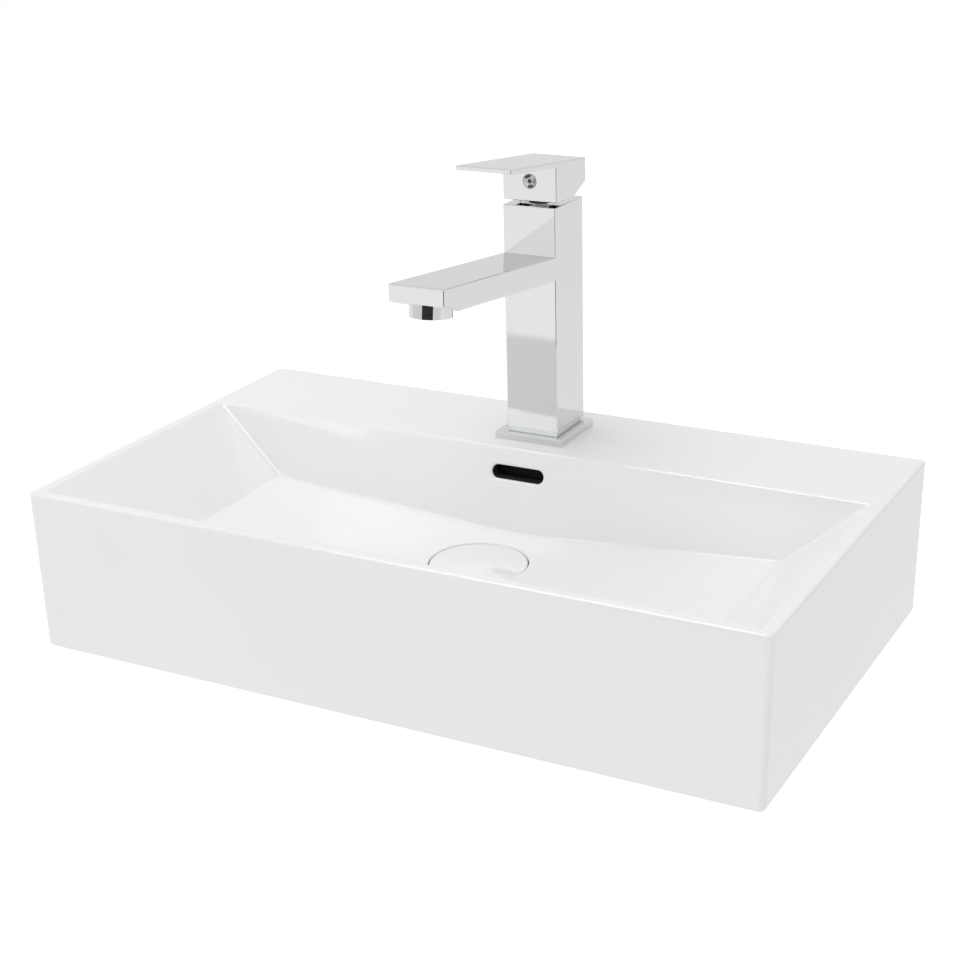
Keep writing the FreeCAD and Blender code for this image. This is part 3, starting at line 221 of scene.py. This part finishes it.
# %% Wave and finish the glaze
POOL_STEP = 35 * MM
POOL_HEIGHT = 0.04 * MM
PEEL_STEP = 4 * MM
PEEL_HEIGHT = 0.002 * MM
pooling = add_node(tree, "TexNoise", values={"Scale": 1 / POOL_STEP, "Detail": 1.0}, links={"Vector": point})
peel = add_node(tree, "TexNoise", values={"Scale": 1 / PEEL_STEP, "Detail": 1.0}, links={"Vector": point})
waves = add_node(tree, "Bump", values={"Strength": 1.0, "Distance": POOL_HEIGHT},
                 links={"Height": pooling.outputs["Fac"]})
surface = add_node(tree, "Bump", values={"Strength": 1.0, "Distance": PEEL_HEIGHT},
                   links={"Height": peel.outputs["Fac"], "Normal": waves.outputs["Normal"]})
shader = add_node(tree, "BsdfPrincipled", values={"IOR": 1.52},
                  links={"Base Color": colour.outputs["Result"], "Roughness": roughness.outputs[0],
                         "Normal": surface.outputs["Normal"]})
add_node(tree, "OutputMaterial", links={"Surface": shader.outputs["BSDF"]})
print("glaze has", len(tree.nodes), "nodes")

# %% [markdown]
# ## Chrome plate
#
# The tap is brass, polished on belts and wheels and then plated with nickel and a skin of chromium.
# The plate is a mirror that keeps about three quarters of the light, very slightly blue. Polishing
# leaves the broad faces a touch wavy, and wheels leave hairlines too fine to see one by one, so they
# are drawn as a small change of roughness along the piece.

# %% Make the chrome plate
BUFF_STEP = 30 * MM
BELT_STEP = 22 * MM
BELT_HEIGHT = 0.02 * MM
chrome, tree, point = new_finish("polished_chrome_plate")
buffed = add_node(tree, "TexNoise", values={"Scale": 1 / BUFF_STEP, "Detail": 4.0}, links={"Vector": point})
roughness = add_node(tree, "MapRange", values={"To Min": 0.03, "To Max": 0.075},
                     links={"Value": buffed.outputs["Fac"]})
belted = add_node(tree, "TexNoise", values={"Scale": 1 / BELT_STEP, "Detail": 1.0}, links={"Vector": point})
surface = add_node(tree, "Bump", values={"Strength": 1.0, "Distance": BELT_HEIGHT},
                   links={"Height": belted.outputs["Fac"]})
shader = add_node(tree, "BsdfPrincipled", values={"Base Color": from_hex("E0E1E2"), "Metallic": 1.0},
                  links={"Roughness": roughness.outputs["Result"], "Normal": surface.outputs["Normal"]})
add_node(tree, "OutputMaterial", links={"Surface": shader.outputs["BSDF"]})
print("chrome keeps", round(from_hex("E0E1E2")[1], 2), "of the light")

# %% [markdown]
# ## Brass and steel
#
# What lies under the basin and inside the tap isn't seen from the front, but it shows from below and
# when the cap is up. Turned brass has fine rings from the lathe, about 0.2 mm apart, and zinc-plated
# steel, paler and duller, has them twice as far apart. Both are too fine for the picture, so they are
# drawn about six times as coarse. The Wave node repeats after a tenth of pi at a scale of 1.


# %% Make the turned metals
WAVE_PERIOD = math.pi / 10
COARSER = 2 * math.pi
PATCH_STEP = 6 * MM
RING_HEIGHT = 0.01 * MM


def turned_metal(name, colour, low, high, ring_step):
    """A metal turned on a lathe: rings across the height, and patchy gloss."""
    finish, tree, point = new_finish(name)
    rings = add_node(tree, "TexWave", settings={"bands_direction": "Z"},
                     values={"Scale": WAVE_PERIOD / (COARSER * ring_step), "Distortion": 0.5},
                     links={"Vector": point})
    patches = add_node(tree, "TexNoise", values={"Scale": 1 / PATCH_STEP, "Detail": 3.0},
                       links={"Vector": point})
    roughness = add_node(tree, "MapRange", values={"To Min": low, "To Max": high},
                         links={"Value": patches.outputs["Fac"]})
    surface = add_node(tree, "Bump", values={"Strength": 0.6, "Distance": RING_HEIGHT},
                       links={"Height": rings.outputs["Fac"]})
    shader = add_node(tree, "BsdfPrincipled", values={"Base Color": from_hex(colour), "Metallic": 1.0},
                      links={"Roughness": roughness.outputs["Result"],
                             "Normal": surface.outputs["Normal"]})
    add_node(tree, "OutputMaterial", links={"Surface": shader.outputs["BSDF"]})
    return finish


brass = turned_metal("turned_brass", "D9BE7F", low=0.22, high=0.34, ring_step=0.2 * MM)
steel = turned_metal("zinc_plated_steel", "B9BCC0", low=0.28, high=0.42, ring_step=0.4 * MM)
print("metals:", brass.name, steel.name)

# %% [markdown]
# ## Rubber, plastics and alumina
#
# Rubber seals are moulded, dull and nearly black. The plastic parts are acetal, moulded with a fine
# satin grain, and the cartridge's discs are lapped alumina. All are made alike: one noise of the
# grain's size changes the colour, the gloss and the height together, as a real grain does.


# %% Make the moulded finishes
def moulded(name, dark, light, low, high, grain, height, ior):
    """A moulded material: slight colour change, satin gloss and a fine grain."""
    finish, tree, point = new_finish(name)
    specks = add_node(tree, "TexNoise", values={"Scale": 1 / grain, "Detail": 3.0},
                      links={"Vector": point})
    tint = add_node(tree, "ValToRGB", links={"Fac": specks.outputs["Fac"]})
    tint.color_ramp.elements[0].color = from_hex(dark)
    tint.color_ramp.elements[1].color = from_hex(light)
    roughness = add_node(tree, "MapRange", values={"To Min": low, "To Max": high},
                         links={"Value": specks.outputs["Fac"]})
    surface = add_node(tree, "Bump", values={"Strength": 1.0, "Distance": height},
                       links={"Height": specks.outputs["Fac"]})
    shader = add_node(tree, "BsdfPrincipled", values={"IOR": ior},
                      links={"Base Color": tint.outputs["Color"],
                             "Roughness": roughness.outputs["Result"],
                             "Normal": surface.outputs["Normal"]})
    add_node(tree, "OutputMaterial", links={"Surface": shader.outputs["BSDF"]})
    return finish


rubber = moulded("black_epdm_rubber", "161616", "222222", low=0.55, high=0.75,
                 grain=0.6 * MM, height=0.02 * MM, ior=1.50)
acetal = moulded("grey_acetal", "5A5C60", "66686C", low=0.38, high=0.52,
                 grain=0.8 * MM, height=0.01 * MM, ior=1.48)
alumina = moulded("lapped_alumina", "E6E3DB", "EFEDE7", low=0.18, high=0.26,
                  grain=0.5 * MM, height=0.002 * MM, ior=1.76)
acrylic = moulded("silvered_acrylic", "A9ABAF", "B6B8BC", low=0.06, high=0.12,
                  grain=2 * MM, height=0.002 * MM, ior=1.49)
print("moulded:", rubber.name, acetal.name, alumina.name, acrylic.name)

# %% [markdown]
# ## Dress the solids
#
# Each solid takes one finish, set in its own material slot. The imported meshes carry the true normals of
# their curved faces, so the rounded edges already flow and the corners stay crisp. Nothing is smoothed
# here, and the vertices stay where they are.

# %% Give every solid its finish
FINISHES = {
    "white_glaze": glaze,
    "chrome_plate": chrome,
    "turned_brass": brass,
    "zinc_steel": steel,
    "seal_rubber": rubber,
    "grey_plastic": acetal,
    "disc_ceramic": alumina,
    "button_plastic": acrylic,
}
slots = {row["node"]: row["material_slot"] for row in frame["record"]["subparts"]}
for name, solid in frame["nodes"].items():
    solid.data.materials.clear()
    solid.data.materials.append(FINISHES[slots[name]])
print("dressed", len(slots), "solids in", len(FINISHES), "finishes")

# %% [markdown]
# ## The index button
#
# A small round button covers the grub screw in the front of the lever's block. On the real tap it is a
# clear moulded cap over a silvered back, with a dark edge and dark marks for hot and cold round a small
# boss. It starts as a short cylinder. Three insets, each moved in or out, turn its front into a dish
# inside a rim, a boss and a dimple, and a narrow bevel catches the light on each edge. It could be cut
# from a disc with booleans instead, but insets keep every ring round and even.

# %% Model the index button
# Each ring is inset by a share of the radius, and then sunk, or raised where it is below zero.
FRONT_RING_SHARES = {"dish": 0.1, "boss": 0.53, "dimple": 0.13}
FRONT_RING_SUNK = {"dish": 0.35 * MM, "boss": -0.2 * MM, "dimple": 0.45 * MM}
EDGE_ROUND = 0.1 * MM
button_low, button_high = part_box("index_button")
button_radius = (button_high.x - button_low.x) / 2
button_middle = (button_low + button_high) / 2
bpy.ops.object.select_all(action="DESELECT")
bpy.ops.mesh.primitive_cylinder_add(vertices=64, radius=button_radius, depth=button_high.y - button_low.y,
                                    location=button_middle, rotation=(math.pi / 2, 0, 0))
button = bpy.context.object
button.name = "index_button_cap"
bpy.ops.object.transform_apply(location=True, rotation=True, scale=True)
for polygon in button.data.polygons:
    polygon.select = polygon.normal.y < -0.9
bpy.ops.object.mode_set(mode="EDIT")
bpy.ops.mesh.select_mode(type="FACE")
for ring, share in FRONT_RING_SHARES.items():
    bpy.ops.mesh.inset(thickness=share * button_radius)
    bpy.ops.transform.translate(value=(0, FRONT_RING_SUNK[ring], 0))
bpy.ops.object.mode_set(mode="OBJECT")
bevel = button.modifiers.new("edge_round", "BEVEL")
bevel.width = EDGE_ROUND
bevel.segments = 2
bevel.limit_method = "ANGLE"
bpy.ops.object.modifier_apply(modifier=bevel.name)
bpy.ops.object.shade_smooth_by_angle(angle=math.radians(35))
print("button cap has", len(button.data.polygons), "faces")

# %% [markdown]
# ## The button's marks
#
# The cap is acrylic with silver behind it: a dull mirror, a little cloudy, under a clear coat. The marks
# for hot and cold are arcs, and the boss and the edge are dark rings round the button's axis. All are
# picked out by the distance from the axis and the bearing round it, so they stay round whatever the
# mesh. A picture of the marks would do the same, but would need a file.

# %% Pick out the dark marks
MARK_BAND_SHARES = (0.5, 0.88)
BOSS_SHARE = 0.3
EDGE_SHARE = 0.93
COLD_ARC = (math.radians(80), math.radians(150))
HOT_ARC = (math.radians(-110), math.radians(-50))
silvered, tree, point = new_finish("silvered_acrylic_with_marks")
offset = add_node(tree, "VectorMath", settings={"operation": "SUBTRACT"}, values={1: button_middle},
                  links={0: point})
place = add_node(tree, "SeparateXYZ", links={"Vector": offset.outputs["Vector"]})
flat = add_node(tree, "CombineXYZ", links={"X": place.outputs["X"], "Y": place.outputs["Z"]})
radius = add_node(tree, "VectorMath", settings={"operation": "LENGTH"},
                  links={0: flat.outputs["Vector"]}).outputs["Value"]
bearing = add_node(tree, "Math", settings={"operation": "ARCTAN2"},
                   links={0: place.outputs["Z"], 1: place.outputs["X"]}).outputs[0]
band = between(tree, radius, *[share * button_radius for share in MARK_BAND_SHARES])
either = add_node(tree, "Math", settings={"operation": "ADD"},
                  links={0: between(tree, bearing, *COLD_ARC), 1: between(tree, bearing, *HOT_ARC)})
marks = add_node(tree, "Math", settings={"operation": "MULTIPLY"}, links={0: band, 1: either.outputs[0]})
boss = between(tree, radius, -FAR, BOSS_SHARE * button_radius)
edge = between(tree, radius, EDGE_SHARE * button_radius, FAR)
ends = add_node(tree, "Math", settings={"operation": "ADD"}, links={0: boss, 1: edge})
dark = add_node(tree, "Math", settings={"operation": "MAXIMUM"},
                links={0: marks.outputs[0], 1: ends.outputs[0]})
print("button radius", round(button_radius / MM, 1), "mm")

# %% [markdown]
# ## The button's silver
#
# One noise, about a millimetre across, clouds the silver's colour, its gloss and its surface. The dark
# marks are laid over it, and a full coat on the shader stands for the clear plastic in front.

# %% Silver the button and put it in place
CLOUD_STEP = 1.2 * MM
CLOUD_HEIGHT = 0.01 * MM
cloud = add_node(tree, "TexNoise", values={"Scale": 1 / CLOUD_STEP, "Detail": 2.0}, links={"Vector": point})
back = add_node(tree, "ValToRGB", links={"Fac": cloud.outputs["Fac"]})
back.color_ramp.elements[0].position = 0.35
back.color_ramp.elements[0].color = from_hex("B0B2B5")
back.color_ramp.elements[1].position = 0.65
back.color_ramp.elements[1].color = from_hex("E8EAEC")
colour = add_node(tree, "Mix", settings={"data_type": "RGBA"}, values={"B": from_hex("101112")},
                  links={"Factor": dark.outputs[0], "A": back.outputs["Color"]})
roughness = add_node(tree, "MapRange", values={"To Min": 0.08, "To Max": 0.2},
                     links={"Value": cloud.outputs["Fac"]})
surface = add_node(tree, "Bump", values={"Strength": 1.0, "Distance": CLOUD_HEIGHT},
                   links={"Height": cloud.outputs["Fac"]})
shader = add_node(tree, "BsdfPrincipled", values={"IOR": 1.49, "Metallic": 0.4, "Coat Weight": 1.0},
                  links={"Base Color": colour.outputs["Result"], "Roughness": roughness.outputs["Result"],
                         "Normal": surface.outputs["Normal"]})
add_node(tree, "OutputMaterial", links={"Surface": shader.outputs["BSDF"]})
button.data.materials.append(silvered)
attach(button, "handle")
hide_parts("index_button")
print("button sits at", [round(v / MM, 1) for v in button_middle], "mm")

# %% [markdown]
# ## The sky
#
# The studio is a plain white room under an even white sky. The camera sees the sky at full white.
# Mirrors such as the chrome see it a little darker, or their faces would melt into the background, and
# the light that falls on the basin is weaker still, so that its white glaze keeps its shape. The Light
# Path node tells the three kinds of ray apart.

# %% Light the room with an even sky
SKY_THAT_LIGHTS = 0.67
SKY_IN_MIRRORS = 0.78
world = bpy.data.worlds.new("white_room")
bpy.context.scene.world = world
world.use_nodes = True
tree = world.node_tree
tree.nodes.clear()
path = add_node(tree, "LightPath")
seen = add_node(tree, "Math", settings={"operation": "MAXIMUM"},
                links={0: path.outputs["Is Camera Ray"], 1: path.outputs["Is Glossy Ray"]})
seen = add_node(tree, "Math", settings={"operation": "MAXIMUM"},
                links={0: seen.outputs[0], 1: path.outputs["Is Transmission Ray"]})
level = add_node(tree, "MapRange", values={"To Min": SKY_THAT_LIGHTS, "To Max": SKY_IN_MIRRORS},
                 links={"Value": seen.outputs[0]})
shown = add_node(tree, "Math", settings={"operation": "MAXIMUM"},
                 links={0: level.outputs["Result"], 1: path.outputs["Is Camera Ray"]})
sky = add_node(tree, "Background", values={"Color": from_hex("FFFFFF")},
               links={"Strength": shown.outputs[0]})
add_node(tree, "OutputWorld", links={"Surface": sky.outputs["Background"]})
print("sky in mirrors", SKY_IN_MIRRORS, "and as light", SKY_THAT_LIGHTS)

# %% [markdown]
# ## The floor
#
# A pale painted floor lies well below the basin. Real paint would go grey in the picture as it runs
# away from the lamps, so the camera sees it with a glow that brings it to white. Mirrors see a weaker
# glow, brightest in front, which gives the chrome's faces their slow change from light to dark.

# %% Lay the floor
FLOOR_HEIGHT = -850 * MM
FLOOR_SPAN = 12000 * MM
POOL_FRONT = -2600 * MM
POOL_BACK = 2400 * MM
MOTTLE_STEP = 400 * MM
bpy.ops.object.select_all(action="DESELECT")
bpy.ops.mesh.primitive_plane_add(size=FLOOR_SPAN, location=(0, 0, FLOOR_HEIGHT))
floor = bpy.context.object
floor.name = "studio_floor"
paint, tree, point = new_finish("pale_studio_paint")
path = add_node(tree, "LightPath")
mottle = add_node(tree, "TexNoise", values={"Scale": 1 / MOTTLE_STEP}, links={"Vector": point})
tint = add_node(tree, "ValToRGB", links={"Fac": mottle.outputs["Fac"]})
tint.color_ramp.elements[0].color = from_hex("F2F2F2")
tint.color_ramp.elements[1].color = from_hex("F6F6F6")
matt = add_node(tree, "BsdfDiffuse", links={"Color": tint.outputs["Color"]})
place = add_node(tree, "SeparateXYZ", links={"Vector": point})
pool = add_node(tree, "MapRange", links={"Value": place.outputs["Y"]},
                values={"From Min": POOL_FRONT, "From Max": POOL_BACK, "To Min": 0.40, "To Max": 0.27})
mirrored = add_node(tree, "Math", settings={"operation": "MULTIPLY"},
                    links={0: pool.outputs["Result"], 1: path.outputs["Is Glossy Ray"]})
faint = add_node(tree, "Math", settings={"operation": "MAXIMUM"}, values={1: 0.12},
                 links={0: mirrored.outputs[0]})
lift = add_node(tree, "MapRange", values={"To Max": 0.5},
                links={"Value": path.outputs["Is Camera Ray"], "To Min": faint.outputs[0]})
glow = add_node(tree, "Emission", links={"Strength": lift.outputs["Result"]})
both = add_node(tree, "AddShader", links={0: matt.outputs[0], 1: glow.outputs[0]})
add_node(tree, "OutputMaterial", links={"Surface": both.outputs[0]})
floor.data.materials.append(paint)
print("floor lies at", FLOOR_HEIGHT, "m")

# %% [markdown]
# ## The lamps
#
# One broad lamp hangs overhead and a weak strip stands on the left. These two are left out of mirrors,
# because they would wash out the tap's faces. Two more are only mirrored in the glaze: one draws a fine
# glint along the rounded edges and the creases of the bowl, the other a faint window on its back wall.
# The last is only mirrored in the chrome and brightens the spout's image in the front of the column.
# Light linking keeps a lamp to one group of pieces, so the glazed and the plated solids are gathered
# in a collection each.

# %% Hang the lamps
LAMP_AIM = Vector((0, -150.0, 0)) * MM


def add_softbox(name, place, width, height, power, mirrored_in=None):
    """A rectangular lamp that faces the basin. It lights everything, or is only mirrored in some pieces."""
    data = bpy.data.lights.new(name, "AREA")
    data.shape = "RECTANGLE"
    data.size, data.size_y, data.energy = width, height, power
    lamp = bpy.data.objects.new(name, data)
    bpy.context.scene.collection.objects.link(lamp)
    lamp.location = place
    lamp.rotation_euler = (lamp.location - LAMP_AIM).to_track_quat("Z", "Y").to_euler()
    lamp.visible_glossy = mirrored_in is not None
    lamp.visible_diffuse = mirrored_in is None
    lamp.light_linking.receiver_collection = mirrored_in


glazed = bpy.data.collections.new("glazed_pieces")
plated = bpy.data.collections.new("plated_pieces")
for name, solid in frame["nodes"].items():
    if slots[name] == "white_glaze":
        glazed.objects.link(solid)
    if slots[name] == "chrome_plate":
        plated.objects.link(solid)
add_softbox("overhead_softbox", (-0.5, -0.5, 1.9), 2.4, 1.6, 14.6)
add_softbox("front_left_strip", (-0.95, -1.95, 0.05), 0.35, 0.5, 1.6)
add_softbox("glint_softbox", (-0.3, -1.0, 1.7), 1.4, 0.9, 25.0, glazed)
add_softbox("window_softbox", (-1.42, -2.09, 0.11), 0.25, 0.11, 0.22, glazed)
add_softbox("low_sky_softbox", (-1.16, -2.19, 1.08), 1.0, 0.8, 0.9, plated)

# %% [markdown]
# ## The dark card
#
# Polished metal in a white room has nothing to show its edges with, so a dark card stands in front,
# below the lens, where only mirrors see it. It draws the thin dark lines along the chrome's corners and
# the stripe on the round collar.

# %% Stand a dark card in front
CARD_PLACE = Vector((210.0, -1075.0, -100.0)) * MM
CARD_SPAN = 1000 * MM
FIBRE_STEP = 2 * MM
bpy.ops.object.select_all(action="DESELECT")
bpy.ops.mesh.primitive_plane_add(size=CARD_SPAN, location=CARD_PLACE, rotation=(math.pi / 2, 0, 0))
card = bpy.context.object
card.name = "dark_card"
card.scale = (1.0, 0.5, 1.0)
flock, tree, point = new_finish("dark_flock_card")
fibres = add_node(tree, "TexNoise", values={"Scale": 1 / FIBRE_STEP, "Detail": 2.0}, links={"Vector": point})
tint = add_node(tree, "ValToRGB", links={"Fac": fibres.outputs["Fac"]})
tint.color_ramp.elements[0].color = from_hex("303030")
tint.color_ramp.elements[1].color = from_hex("464646")
matt = add_node(tree, "BsdfDiffuse", links={"Color": tint.outputs["Color"]})
add_node(tree, "OutputMaterial", links={"Surface": matt.outputs[0]})
card.data.materials.append(flock)
card.visible_camera = False
card.visible_diffuse = False
card.visible_shadow = False
card.visible_transmission = False
print("card stands", round(-card.location.y, 2), "m in front of the wall")
